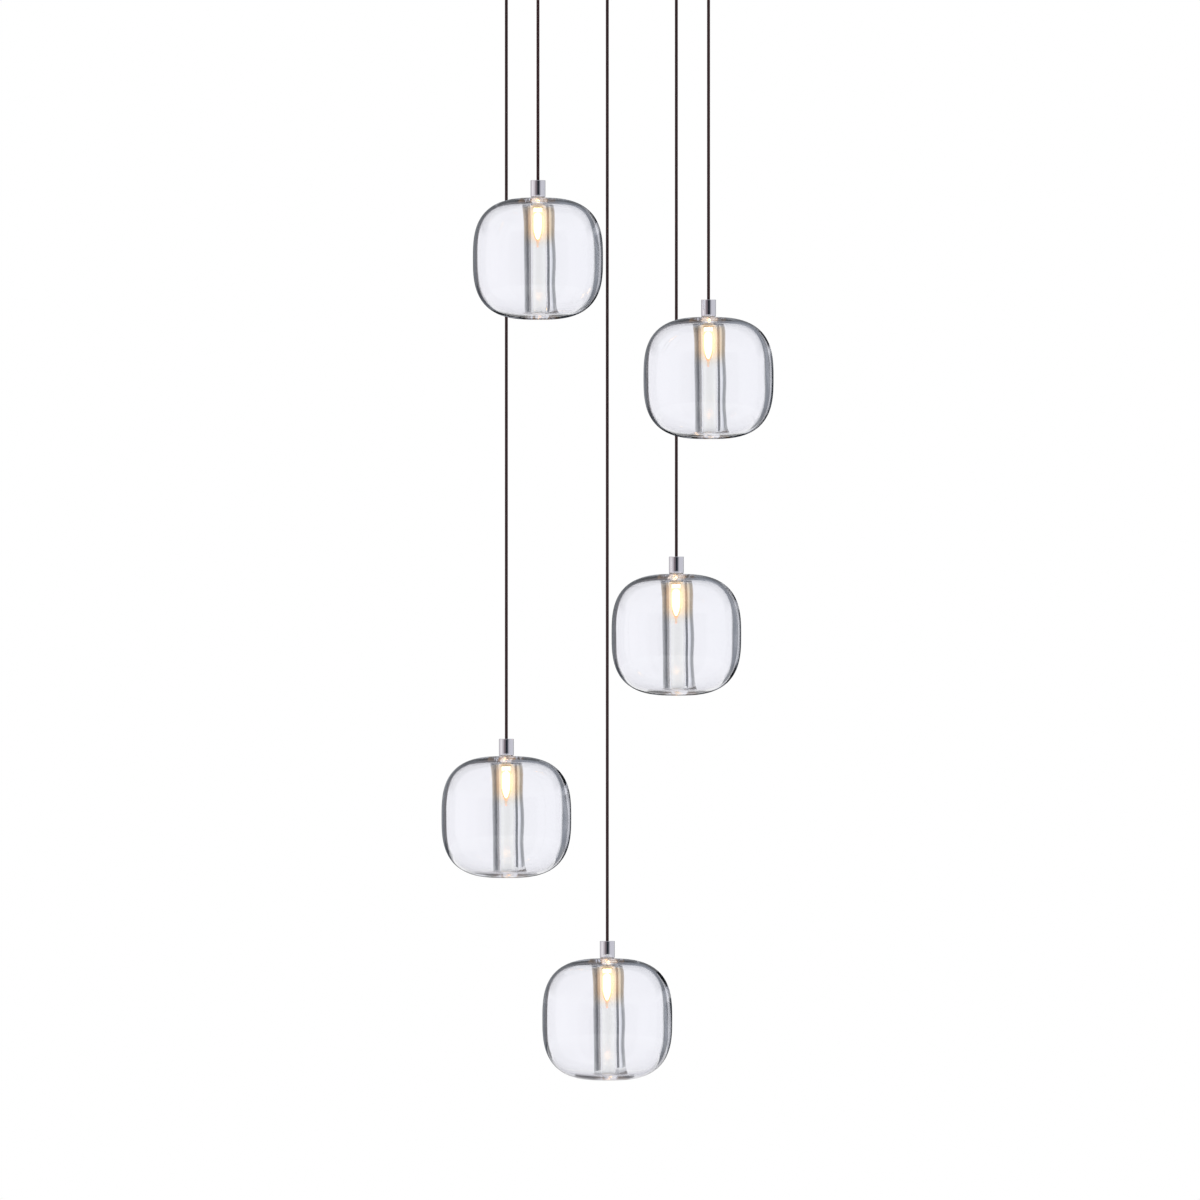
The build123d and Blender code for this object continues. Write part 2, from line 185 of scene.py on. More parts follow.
def spin_round(steps=ROUND_STEPS):
    """Spins the outline that is being edited once round the Z axis into a closed skin."""
    bpy.ops.mesh.select_all(action="SELECT")
    bpy.ops.mesh.spin(steps=steps, angle=2 * math.pi, center=(0, 0, 0), axis=(0, 0, 1))
    bpy.ops.mesh.select_all(action="SELECT")
    bpy.ops.mesh.remove_doubles(threshold=MERGE_DISTANCE)
    bpy.ops.mesh.normals_make_consistent(inside=False)
    bpy.ops.object.mode_set(mode="OBJECT")


def turn_piece(name, outline, steps=ROUND_STEPS):
    """A turned piece: (radius, height) points drawn one after the other and spun round Z."""
    deselect()
    bpy.ops.mesh.primitive_plane_add(size=COVER_WALL)
    piece = bpy.context.object
    piece.name = name
    bpy.ops.object.mode_set(mode="EDIT")
    bpy.ops.mesh.select_all(action="SELECT")
    bpy.ops.mesh.merge(type="CENTER")
    bpy.ops.transform.translate(value=(outline[0][0], 0, outline[0][1]))
    for (radius, height), (next_radius, next_height) in zip(outline, outline[1:]):
        step = (next_radius - radius, 0, next_height - height)
        bpy.ops.mesh.extrude_region_move(TRANSFORM_OT_translate={"value": step})
    spin_round(steps)
    return piece


def arc(centre, radius, start, end, count):
    """Points of an arc in an outline, with angles in degrees from the outward direction."""
    angles = [math.radians(start + (end - start) * i / count) for i in range(count + 1)]
    return [(centre[0] + radius * math.cos(a), centre[1] + radius * math.sin(a)) for a in angles]


def apply_modifier(piece, kind, settings):
    """Adds a modifier to a piece and applies it."""
    work_on(piece)
    modifier = piece.modifiers.new(kind.lower(), kind)
    for name, value in settings.items():
        setattr(modifier, name, value)
    bpy.ops.object.modifier_apply(modifier=modifier.name)


def cut(piece, cutter, operation="DIFFERENCE"):
    """Cuts one piece with another, or joins it, and removes the second."""
    apply_modifier(piece, "BOOLEAN", {"operation": operation, "object": cutter, "solver": "EXACT"})
    bpy.data.objects.remove(cutter)


def smooth(piece, angle=35.0):
    work_on(piece)
    bpy.ops.object.shade_smooth_by_angle(angle=math.radians(angle))


def drill(piece, radius, depth, location, rotation=(0, 0, 0)):
    """Drills a round hole."""
    deselect()
    bpy.ops.mesh.primitive_cylinder_add(
        vertices=48, radius=radius, depth=depth, location=location, rotation=rotation
    )
    cut(piece, bpy.context.object)


def middle(node_name):
    """Middle of a solid's box."""
    low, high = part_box(node_name)
    return (low + high) / 2


PENDANTS = range(1, 6)
glass_tops = []
for number in PENDANTS:
    top = middle(f"glass_tube_{number}")
    top.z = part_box(f"glass_tube_{number}")[1].z
    glass_tops.append(top)

cover_low, cover_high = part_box("canopy_cover")
cover_radius = cover_high.x
inner_round = COVER_EDGE_ROUND - COVER_WALL
outer_centre = (cover_radius - COVER_EDGE_ROUND, cover_low.z + COVER_EDGE_ROUND)
cover_outline = [(0.0, cover_low.z), (cover_radius / 2, cover_low.z)]
cover_outline += arc(outer_centre, COVER_EDGE_ROUND, -90, 0, 10)
cover_outline += [(cover_radius, cover_high.z), (cover_radius - COVER_WALL, cover_high.z)]
cover_outline += arc(outer_centre, inner_round, 0, -90, 10)
cover_outline += [(cover_radius / 2, cover_low.z + COVER_WALL), (0.0, cover_low.z + COVER_WALL)]
cover = turn_piece("spun_canopy_cover", cover_outline)
for top in glass_tops:
    drill(cover, OUTLET_RADIUS, 4 * COVER_WALL, (top.x, top.y, cover_low.z + COVER_WALL / 2))
side_hole_height = middle("cover_screws").z
for side in (-1, 1):
    at = (side * (cover_radius - COVER_WALL / 2), 0, side_hole_height)
    drill(cover, SIDE_HOLE_RADIUS, 4 * COVER_WALL, at, (0, math.pi / 2, 0))
smooth(cover)

chrome, shader, maker = new_finish("polished_chrome")
buffing = maker.noise(300.0, 3.0, (1.0, 1.0, 6.0))
cloud = maker.noise(18.0, 2.0)
maker.wire(
    shader,
    {
        "Base Color": maker.blend(cloud, (0.78, 0.78, 0.81), (0.84, 0.84, 0.87)),
        "Metallic": 1.0,
        "Roughness": 0.04 + 0.05 * buffing,
        "Normal": maker.bump(buffing, 0.00002, 0.15),
    },
)
cover.data.materials.append(chrome)
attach(cover, "canopy")
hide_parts("canopy_cover")


# Side screws: two chrome-plated screws with turned, slightly crowned heads.
# Each goes through the cover's wall into a tab of the ceiling plate.
SCREW_HEAD_RADIUS = 0.004
SCREW_HEAD_LENGTH = 0.005
SCREW_HEAD_ROUND = 0.0012
SCREW_HEAD_CROWN = 0.0004
SCREW_SHANK_RADIUS = 0.002
SCREW_SHANK_REACH = 0.006
SCREW_SLOT = (0.0011, 0.009, 0.0018)
SCREW_STEPS = 48
screw_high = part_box("cover_screws")[1]
head_face = screw_high.x - SCREW_HEAD_LENGTH
shank_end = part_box("ceiling_plate")[1].x - SCREW_SHANK_REACH
screw_outline = [(0.0, shank_end), (SCREW_SHANK_RADIUS, shank_end), (SCREW_SHANK_RADIUS, head_face)]
screw_outline += [(SCREW_HEAD_RADIUS, head_face)]
round_centre = (SCREW_HEAD_RADIUS - SCREW_HEAD_ROUND, screw_high.x - SCREW_HEAD_CROWN - SCREW_HEAD_ROUND)
screw_outline += arc(round_centre, SCREW_HEAD_ROUND, 0, 70, 5)
screw_outline += [(0.0, screw_high.x)]
for side, label in ((1, "right"), (-1, "left")):
    screw = turn_piece(f"side_screw_{label}", screw_outline, SCREW_STEPS)
    deselect()
    bpy.ops.mesh.primitive_cube_add(size=1, location=(0, 0, screw_high.x), scale=SCREW_SLOT)
    cut(screw, bpy.context.object)
    screw.data.transform(Matrix.Rotation(side * math.pi / 2, 4, "Y"))
    screw.data.transform(Matrix.Translation((0, 0, side_hole_height)))
    smooth(screw)
    screw.data.materials.append(chrome)
    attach(screw, "canopy")
    if side == 1:
        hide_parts("cover_screws")


# Cord grips: flanged bushes turned from brass and chrome plated, one under each outlet.
# Each has a round seat inside for the cord's ball and a small outlet for the cord.
GRIP_RADIUS = 0.006
GRIP_FLANGE_RADIUS = 0.009
GRIP_FLANGE_ROUND = 0.001
GRIP_OUTLET_RADIUS = 0.0026
GRIP_SEAT_RADIUS = 0.00355
GRIP_STEPS = 64
grip_low, grip_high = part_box("cord_grips")
seat_height = middle("cord_ball_1").z
outlet_rise = math.sqrt(GRIP_SEAT_RADIUS**2 - GRIP_OUTLET_RADIUS**2)
outlet_angle = math.degrees(math.asin(outlet_rise / GRIP_SEAT_RADIUS))
grip_outline = [(GRIP_OUTLET_RADIUS, grip_low.z)]
flange_centre = (GRIP_FLANGE_RADIUS - GRIP_FLANGE_ROUND, grip_low.z + GRIP_FLANGE_ROUND)
grip_outline += arc(flange_centre, GRIP_FLANGE_ROUND, -90, 0, 6)
grip_outline += [(GRIP_FLANGE_RADIUS, cover_low.z), (GRIP_RADIUS, cover_low.z)]
grip_outline += [(GRIP_RADIUS, grip_high.z), (GRIP_SEAT_RADIUS, grip_high.z)]
grip_outline += arc((0.0, seat_height), GRIP_SEAT_RADIUS, 0, -outlet_angle, 8)
grip_outline += [(GRIP_OUTLET_RADIUS, grip_low.z)]
for number, top in zip(PENDANTS, glass_tops):
    grip = turn_piece(f"turned_grip_{number}", grip_outline, GRIP_STEPS)
    grip.data.transform(Matrix.Translation((top.x, top.y, 0)))
    smooth(grip)
    grip.data.materials.append(chrome)
    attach(grip, "canopy")
    if number == 1:
        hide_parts("cord_grips")


# Cord balls and ferrules: plain steel, pressed and crimped on the two ends of each cord.
# The ball sits in its grip at the canopy, and the ferrule carries the cap.
plain_steel, shader, maker = new_finish("plain_steel")
crimp = maker.noise(1200.0, 2.0)
maker.wire(
    shader,
    {
        "Base Color": maker.blend(crimp, (0.5, 0.5, 0.52), (0.64, 0.64, 0.66)),
        "Metallic": 1.0,
        "Roughness": 0.26 + 0.2 * crimp,
        "Normal": maker.bump(crimp, 0.00004, 0.4),
    },
)
for number in PENDANTS:
    dress(f"cord_ball_{number}", plain_steel)
    dress(f"cord_ferrule_{number}", plain_steel)


# Cords: a round flexible cord with a smooth dark brown braid, one for each pendant.
# The pendant's weight keeps it straight from its ball in the grip to its ferrule in the cap.
CORD_DIAMETER = 0.003
CORD_END = 6 * CORD_DIAMETER
braid_finish, shader, maker = new_finish("brown_braid")
place = maker.add("TexCoord", {}, {}, "Object")
steep = maker.add("Mapping", {}, {"Vector": place, "Scale": (1.0, 1.0, 0.6)})
braid = maker.add("TexWave", {"bands_direction": "DIAGONAL"}, {"Vector": steep, "Scale": 420.0}, 1)
fibre = maker.noise(900.0, 3.0, (1.0, 1.0, 0.3))
maker.wire(
    shader,
    {
        "Base Color": maker.blend(fibre, (0.038, 0.02, 0.02), (0.048, 0.027, 0.027)),
        "Roughness": 0.62 + 0.16 * braid,
        "Specular IOR Level": 0.06,
        "Normal": maker.bump(braid * 0.6 + fibre * 0.4, 0.00006, 0.2),
    },
)
for number, top in zip(PENDANTS, glass_tops):
    cord_low, cord_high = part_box(f"cord_{number}")
    line = bpy.data.curves.new(f"straight_cord_{number}", "CURVE")
    line.dimensions = "3D"
    line.bevel_depth = CORD_DIAMETER / 2
    line.bevel_resolution = 6
    spline = line.splines.new("NURBS")
    heights = [cord_high.z, cord_high.z - CORD_END, cord_low.z + CORD_END, cord_low.z]
    spline.points.add(len(heights) - 1)
    for point, height in zip(spline.points, heights):
        point.co = (top.x, top.y, height, 1.0)
    spline.order_u = 3
    spline.use_endpoint_u = True
    line.materials.append(braid_finish)
    cord = bpy.data.objects.new(f"straight_cord_{number}", line)
    bpy.context.scene.collection.objects.link(cord)
    cord.visible_transmission = False
    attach(cord, f"hanger_{number}")
    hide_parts(f"cord_{number}")


# Caps: turned brass cylinders, chrome plated and polished, one on top of each glass.
# The cord goes in through a hole in the top, and the clamp screw is threaded in from below.
CAP_RADIUS = 0.0074
CAP_BASE = 0.0008
CAP_TOP = 0.0173
CAP_BORE = 0.00505
CAP_CHAMBER = 0.0037
CAP_CHAMBER_BASE = 0.0103
CAP_CHAMBER_TOP = 0.0153
CAP_CORD_HOLE = 0.0016
CAP_EDGE = 0.0005
CAP_STEPS = 96


def hang_copies(model, name, body, nodes):
    """Hangs one copy of a pendant's piece in each place, instead of the solids there."""
    for number, top in zip(PENDANTS, glass_tops):
        piece = model.copy()
        piece.data = model.data.copy()
        piece.name = f"{name}_{number}"
        piece.data.name = piece.name
        piece.data.transform(Matrix.Translation(top))
        bpy.context.scene.collection.objects.link(piece)
        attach(piece, f"{body}_{number}")
        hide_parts(*[f"{node}_{number}" for node in nodes])
    bpy.data.objects.remove(model)


cap = turn_piece(
    "cap",
    [
        (CAP_BORE, CAP_BASE),
        (CAP_RADIUS, CAP_BASE),
        (CAP_RADIUS, CAP_TOP),
        (CAP_CORD_HOLE, CAP_TOP),
        (CAP_CORD_HOLE, CAP_CHAMBER_TOP),
        (CAP_CHAMBER, CAP_CHAMBER_TOP),
        (CAP_CHAMBER, CAP_CHAMBER_BASE),
        (CAP_BORE, CAP_CHAMBER_BASE),
        (CAP_BORE, CAP_BASE),
    ],
    CAP_STEPS,
)
apply_modifier(cap, "BEVEL", {"width": CAP_EDGE, "segments": 3, "limit_method": "ANGLE"})
smooth(cap)
cap.data.materials.append(chrome)
hang_copies(cap, "polished_cap", "pendant", ["cap"])


# Washers: two soft rings of clear silicone, above and below the glass's top wall.
# They keep the metal off the glass.
silicone, shader, maker = new_finish("clear_silicone")
haze = maker.noise(400.0, 2.0)
maker.wire(
    shader,
    {
        "Base Color": maker.blend(haze, (0.8, 0.81, 0.83), (0.9, 0.91, 0.92)),
        "Roughness": 0.3 + 0.2 * haze,
        "Transmission Weight": 0.6,
        "IOR": 1.41,
    },
)
for number in PENDANTS:
    dress(f"washers_{number}", silicone)


# Clamp screws: hollow flanged screws turned from brass and nickel plated, put in from below.
# The flange carries the glass; the bulb's light on its underside is a painted warm glow.
# A slot across the flange takes a tube spanner.
CLAMP_TOP = 0.0098
CLAMP_FLANGE_TOP = -0.0056
CLAMP_BASE = -0.0076
CLAMP_RADIUS = 0.005
CLAMP_BORE = 0.004
CLAMP_FLANGE_RADIUS = 0.007
CLAMP_SLOT = (0.0145, 0.0016, 0.002)
clamp = turn_piece(
    "clamp",
    [
        (CLAMP_BORE, CLAMP_BASE),
        (CLAMP_FLANGE_RADIUS, CLAMP_BASE),
        (CLAMP_FLANGE_RADIUS, CLAMP_FLANGE_TOP),
        (CLAMP_RADIUS, CLAMP_FLANGE_TOP),
        (CLAMP_RADIUS, CLAMP_TOP),
        (CLAMP_BORE, CLAMP_TOP),
        (CLAMP_BORE, CLAMP_BASE),
    ],
    CAP_STEPS,
)
deselect()
bpy.ops.mesh.primitive_cube_add(size=1, location=(0, 0, CLAMP_BASE), scale=CLAMP_SLOT)
cut(clamp, bpy.context.object)
smooth(clamp)
# Painted light: the flange's underside and the bore below it get a warm emission, a painted stand-in for
# the bulb's light falling there.
flange_light = clamp.data.attributes.new("flange_light", "FLOAT", "POINT")
for vertex, glow in zip(clamp.data.vertices, flange_light.data):
    glow.value = 1.0 if vertex.co.z < CLAMP_FLANGE_TOP + MERGE_DISTANCE else 0.0
nickel, shader, maker = new_finish("nickel_plate")
turning = maker.noise(700.0, 2.0, (1.0, 1.0, 5.0))
lit = maker.add("Attribute", {"attribute_name": "flange_light"}, {}, "Fac")
maker.wire(
    shader,
    {
        "Base Color": maker.blend(turning, (0.66, 0.62, 0.55), (0.78, 0.74, 0.67)),
        "Metallic": 1.0,
        "Roughness": 0.16 + 0.14 * turning,
        "Normal": maker.bump(turning, 0.00003, 0.4),
        "Emission Color": maker.blend(lit, (0.0, 0.0, 0.0), (0.62, 0.46, 0.27)),
        "Emission Strength": 1.0,
    },
)
clamp.data.materials.append(nickel)
hang_copies(clamp, "clamp_screw", "pendant", ["retainer"])


# Sockets: two-pin lamp holders pressed and fired from unglazed ceramic.
# Each plugs the bore of its clamp screw.
ceramic, shader, maker = new_finish("unglazed_ceramic")
clay = maker.noise(1500.0, 4.0)
maker.wire(
    shader,
    {
        "Base Color": maker.blend(clay, (0.8, 0.77, 0.71), (0.9, 0.88, 0.84)),
        "Roughness": 0.7 + 0.2 * clay,
        "Normal": maker.bump(clay, 0.00005, 0.6),
    },
)
for number in PENDANTS:
    dress(f"socket_{number}", ceramic)


# Glasses: hand-blown blocks of clear crystal with uneven walls, closed and hollow.
# A thick tube is fused in from top to bottom; its bore is open below and takes the bulb.
GLASS_WIDTH = 0.1299
GLASS_HEIGHT = 0.122
WALL_LEFT = 0.0047
WALL_RIGHT = 0.0070
WALL_TOP = 0.0041
WALL_BOTTOM = 0.0036
WALL_FRONT = 0.0050
SHOULDER_FULLNESS = 0.62
HOLLOW_FULLNESS = 0.65
SHOULDER_SEGMENTS = 32
POLE_GAP = 0.001
TUBE_RADIUS = 0.0159
TUBE_FLARE = 0.0012
TUBE_TOP_FLARE = 0.0012
TUBE_WAVE = 0.0003
TUBE_LEAN = 0.0026
BORE_RADIUS = 0.0072
BORE_LEAN = 0.0018
BORE_TOP = -0.0048
BORE_TOP_EDGE = (0.0004, 0.0002)
MOUTH_ROUND = 0.001
FIXING_RADIUS = 0.0056
FIXING_TOP = 0.003
FIXING_BASE = -0.008
TUBE_STEPS = 24
WAVE_STEP = 0.6
LEAN_START = 0.07
LEAN_LENGTH = 0.8
LEAN_WAVE = 0.1
LEAN_WAVE_STEP = 14.0
FOOT_HEIGHT = 0.012
FOOT_SPREAD = 0.003
FOOT_RINGS = 4
# Painted bulb light in the glass: the depths where the painted glow and the painted amber tint rise and
# fade, and the painted glow's share on the tube wall.
PAINTED_GLOW_RANGE = (0.006, 0.012, 0.032, 0.014)
PAINTED_TINT_RANGE = (0.0045, 0.0045, 0.036, 0.014)
TUBE_PAINTED_GLOW = 0.22


def blow_block(name, size, centre, fullness):
    """A closed rounded block: a square with fully rounded corners, halved and spun round Z."""
    deselect()
    bpy.ops.mesh.primitive_plane_add(size=1, rotation=(math.pi / 2, 0, 0))
    block = bpy.context.object
    block.name = name
    bpy.ops.object.transform_apply(rotation=True)
    bpy.ops.object.mode_set(mode="EDIT")
    bpy.ops.mesh.select_all(action="SELECT")
    bpy.ops.mesh.bevel(
        offset=0.4999, profile=fullness, segments=SHOULDER_SEGMENTS, affect="VERTICES"
    )
    bpy.ops.mesh.select_all(action="SELECT")
    bpy.ops.mesh.bisect(plane_co=(0, 0, 0), plane_no=(1, 0, 0), clear_inner=True)
    bpy.ops.mesh.select_all(action="SELECT")
    bpy.ops.mesh.delete(type="ONLY_FACE")
    bpy.ops.mesh.select_all(action="DESELECT")
    bpy.ops.object.mode_set(mode="OBJECT")
    for vertex in block.data.vertices:
        if vertex.co.x < POLE_GAP:
            vertex.co.x = 0.0
    for edge in block.data.edges:
        edge.select = all(block.data.vertices[v].co.x == 0.0 for v in edge.vertices)
    bpy.ops.object.mode_set(mode="EDIT")
    bpy.ops.mesh.select_mode(type="EDGE")
    bpy.ops.mesh.delete(type="EDGE")
    bpy.ops.mesh.select_mode(type="VERT")
    spin_round()
    block.data.transform(Matrix.Diagonal((*size, 1.0)))
    block.data.transform(Matrix.Translation(centre))
    return block


def lean(piece, distance):
    """Draws a straight turned piece slightly out of line, as the hot tube was, below its upper end."""
    for vertex in piece.data.vertices:
        share = min(1.0, max(0.0, -vertex.co.z / GLASS_HEIGHT - LEAN_START) / LEAN_LENGTH)
        wave = 1.0 + LEAN_WAVE * math.sin(LEAN_WAVE_STEP * share)
        vertex.co.x += distance * share ** (1 / 3) * wave
    return piece


def spread_foot(piece, base):
    """Draws the foot of a turned piece out to the right, where the hot tube met its block."""
    for vertex in piece.data.vertices:
        share = min(1.0, max(0.0, base + FOOT_HEIGHT - vertex.co.z) / FOOT_HEIGHT)
        vertex.co.x += FOOT_SPREAD * share**2 * max(0.0, vertex.co.x) / TUBE_RADIUS
    return piece


def lit_share(depth, start, rise, reach, fade):
    """How much painted bulb light is put on the glass at a depth below its top."""
    rising = min(1.0, max(0.0, depth - start) / rise)
    return rising * max(0.0, 1.0 - max(0.0, depth - reach) / fade)


glass_size = (GLASS_WIDTH, GLASS_WIDTH, GLASS_HEIGHT)
glass = blow_block("glass", glass_size, (0, 0, -GLASS_HEIGHT / 2), SHOULDER_FULLNESS)
hollow_size = (
    GLASS_WIDTH - 2 * WALL_LEFT,
    GLASS_WIDTH - 2 * WALL_FRONT,
    GLASS_HEIGHT - WALL_TOP - WALL_BOTTOM,
)
hollow_centre = (0, 0, (WALL_BOTTOM - WALL_TOP - GLASS_HEIGHT) / 2)
hollow = blow_block("hollow", hollow_size, hollow_centre, HOLLOW_FULLNESS)
for vertex in hollow.data.vertices:
    if vertex.co.x > 0:
        vertex.co.x *= (GLASS_WIDTH / 2 - WALL_RIGHT) / (GLASS_WIDTH / 2 - WALL_LEFT)
hollow_top = -WALL_TOP
hollow_base = WALL_BOTTOM - GLASS_HEIGHT
flare_radius = TUBE_RADIUS + TUBE_FLARE
tube_outline = [(0.0, hollow_base - WALL_BOTTOM), (flare_radius, hollow_base - WALL_BOTTOM)]
tube_outline += arc((flare_radius, hollow_base + TUBE_FLARE), TUBE_FLARE, 270, 180, 10)
tube_length = hollow_top - hollow_base - TUBE_FLARE - TUBE_TOP_FLARE
foot_steps = [i / FOOT_RINGS for i in range(1, 2 * FOOT_RINGS)]
for i in foot_steps + list(range(2, TUBE_STEPS)):
    height = hollow_base + TUBE_FLARE + tube_length * i / TUBE_STEPS
    tube_outline.append((TUBE_RADIUS + TUBE_WAVE * math.sin(WAVE_STEP * i + WAVE_STEP), height))
top_radius = TUBE_RADIUS + TUBE_TOP_FLARE
tube_outline += arc((top_radius, hollow_top - TUBE_TOP_FLARE), TUBE_TOP_FLARE, 180, 90, 6)
tube_outline += [(top_radius, hollow_top + WALL_TOP), (0.0, hollow_top + WALL_TOP)]
tube = spread_foot(turn_piece("tube", tube_outline), hollow_base)
cut(hollow, lean(tube, TUBE_LEAN))
cut(glass, hollow)
mouth_edge = BORE_RADIUS + MOUTH_ROUND
bore_outline = [(0.0, -GLASS_HEIGHT - MOUTH_ROUND), (mouth_edge, -GLASS_HEIGHT - MOUTH_ROUND)]
bore_outline += arc((mouth_edge, MOUTH_ROUND - GLASS_HEIGHT), MOUTH_ROUND, 260, 180, 6)
for i in range(1, TUBE_STEPS):
    bore_outline.append((BORE_RADIUS, -GLASS_HEIGHT * (1 - i / TUBE_STEPS)))
bore_outline.append((BORE_RADIUS, BORE_TOP - BORE_TOP_EDGE[1]))
bore_outline += [(BORE_RADIUS - BORE_TOP_EDGE[0], BORE_TOP), (0.0, BORE_TOP)]
cut(glass, lean(turn_piece("bore", bore_outline), BORE_LEAN))
fixing_outline = [(0.0, FIXING_BASE), (FIXING_RADIUS, FIXING_BASE)]
fixing_outline += [(FIXING_RADIUS, FIXING_TOP), (0.0, FIXING_TOP)]
cut(glass, turn_piece("fixing_hole", fixing_outline))
smooth(glass, 40.0)
# Painted light: a warm glow is painted into the bore and onto the tube wall beside the bulb, and an
# amber tint is painted on the tube, standing in for the bulb's light. Both stay when the bulb is pulled
# out.
glass.data.attributes.new("lamp_glow", "FLOAT", "POINT")
glass.data.attributes.new("lamp_warmth", "FLOAT", "POINT")
lamp_glow = glass.data.attributes["lamp_glow"].data
lamp_warmth = glass.data.attributes["lamp_warmth"].data
for vertex, glow, painted_tint in zip(glass.data.vertices, lamp_glow, lamp_warmth):
    radius = math.hypot(vertex.co.x, vertex.co.y)
    in_bore = radius < BORE_RADIUS + BORE_LEAN
    on_tube = radius < flare_radius + TUBE_LEAN and not in_bore
    share = lit_share(-vertex.co.z, *PAINTED_GLOW_RANGE)
    glow.value = share * (1.0 if in_bore else TUBE_PAINTED_GLOW if on_tube else 0.0)
    painted_tint.value = lit_share(-vertex.co.z, *PAINTED_TINT_RANGE) if on_tube else 0.0

crystal, shader, maker = new_finish("clear_crystal")
ripple = maker.noise(22.0, 1.0)
polish = maker.noise(120.0, 2.0)
# Painted light: the emission below is painted bulb glow, and the colour blend is a painted amber tint
# from the bulb's light.
lit = maker.add("Attribute", {"attribute_name": "lamp_glow"}, {}, "Fac")
painted_tint_mask = maker.add("Attribute", {"attribute_name": "lamp_warmth"}, {}, "Fac")
maker.wire(
    shader,
    {
        "Base Color": maker.blend(painted_tint_mask, (1.0, 1.0, 1.0), (0.92, 0.77, 0.54)),
        "Roughness": 0.006 * polish,
        "Transmission Weight": 1.0,
        "IOR": 1.5,
        "Normal": maker.bump(ripple, 0.0012, 0.35),
        "Emission Color": maker.blend(lit, (0.0, 0.0, 0.0), (0.22, 0.125, 0.06)),
        "Emission Strength": 1.0,
    },
)
depth_tint = maker.add("VolumeAbsorption", {}, {"Color": (0.5, 0.58, 0.76, 1.0), "Density": 3.0})
maker.wire(crystal.node_tree.nodes["Material Output"], {"Volume": depth_tint})
glass.data.materials.append(crystal)
hang_copies(glass, "blown_glass", "pendant", ["glass", "glass_tube"])


# Bulbs: capsules of clear quartz with a flat pinch above and a drawn-out tip below, lit warm.
# The pinch plugs into the socket by its two pins.
PINCH_SIZE = (0.0084, 0.0034, 0.0058)
PINCH_TOP = -0.0091
PINCH_EDGE = 0.0008
PINCH_GLOW = 0.8
BULB_STEPS = 48
SAME_POINT = 1e-5
BULB_OUTER = [
    (0.0, -0.0143),
    (0.0020, -0.0144),
    (0.0036, -0.0156),
    (0.0047, -0.0174),
    (0.0050, -0.0195),
    (0.0050, -0.0300),
    (0.0048, -0.0340),
    (0.0042, -0.0375),
    (0.0032, -0.0408),
    (0.0021, -0.0432),
    (0.0014, -0.0452),
    (0.0012, -0.0472),
    (0.0011, -0.0490),
    (0.0007, -0.0500),
    (0.0, -0.0503),
]
BULB_INNER = [
    (0.0, -0.0155),
    (0.0022, -0.0160),
    (0.0033, -0.0176),
    (0.0037, -0.0196),
    (0.0037, -0.0300),
    (0.0035, -0.0335),
    (0.0029, -0.0368),
    (0.0020, -0.0398),
    (0.0010, -0.0422),
    (0.0, -0.0432),
]
bulb = turn_piece("bulb", BULB_OUTER, BULB_STEPS)
deselect()
pinch_place = (0, 0, PINCH_TOP - PINCH_SIZE[2] / 2)
bpy.ops.mesh.primitive_cube_add(size=1, location=pinch_place, scale=PINCH_SIZE)
pinch = bpy.context.object
bpy.ops.object.transform_apply(location=True, scale=True)
apply_modifier(pinch, "BEVEL", {"width": PINCH_EDGE, "segments": 3})
cut(bulb, pinch, "UNION")
cut(bulb, turn_piece("gas_space", BULB_INNER, BULB_STEPS))
smooth(bulb, 50.0)
inner_glow = bulb.data.attributes.new("inner_glow", "FLOAT", "POINT")
for vertex, glow in zip(bulb.data.vertices, inner_glow.data):
    radius = math.hypot(vertex.co.x, vertex.co.y)
    inside = any(
        abs(radius - r) < SAME_POINT and abs(vertex.co.z - z) < SAME_POINT for r, z in BULB_INNER
    )
    above = vertex.co.z > BULB_OUTER[0][1] + SAME_POINT
    glow.value = 1.0 if inside else PINCH_GLOW if above else 0.0

lit_quartz, shader, maker = new_finish("lit_quartz")
lit = maker.add("Attribute", {"attribute_name": "inner_glow"}, {}, "Fac")
draw_lines = maker.noise(500.0, 2.0, (1.0, 1.0, 0.2))
maker.wire(
    shader,
    {
        "Base Color": (1.0, 1.0, 1.0, 1.0),
        "Roughness": 0.01 + 0.02 * draw_lines,
        "Transmission Weight": 1.0,
        "IOR": 1.3,
        "Emission Color": maker.blend(lit, (0.02, 0.01, 0.003), (1.0, 0.82, 0.55)),
        "Emission Strength": 2.2,
    },
)
amber_depth = maker.add("VolumeAbsorption", {}, {"Color": (0.95, 0.62, 0.25, 1.0), "Density": 260.0})
maker.wire(lit_quartz.node_tree.nodes["Material Output"], {"Volume": amber_depth})
bulb.data.materials.append(lit_quartz)
hang_copies(bulb, "lit_bulb", "lamp", ["bulb"])


# Filaments: a tungsten coil on two nickel leads, which end above the pinch as the bulb's pins.
# Coil and leads glow white in the lit bulb.
COIL_RADIUS = 0.0008
COIL_WIRE = 0.00016
COIL_TURNS = 14
TURN_POINTS = 10
COIL_TOP = -0.0233
COIL_BASE = -0.0333
PIN_SPACING = 0.004
PIN_RADIUS = 0.00035
PIN_TOP = -0.0021
HOT_RADIUS = 1.4 * COIL_RADIUS


def wire_piece(name, points, radius):
    """A bent wire through the given points, as a mesh."""
    line = bpy.data.curves.new(name, "CURVE")
    line.dimensions = "3D"
    line.bevel_depth = radius
    line.bevel_resolution = 2
    line.use_fill_caps = True
    spline = line.splines.new("POLY")
    spline.points.add(len(points) - 1)
    for point, co in zip(spline.points, points):
        point.co = (*co, 1.0)
    wire = bpy.data.objects.new(name, line)
    bpy.context.scene.collection.objects.link(wire)
    work_on(wire)
    bpy.ops.object.convert(target="MESH")
    return bpy.context.object


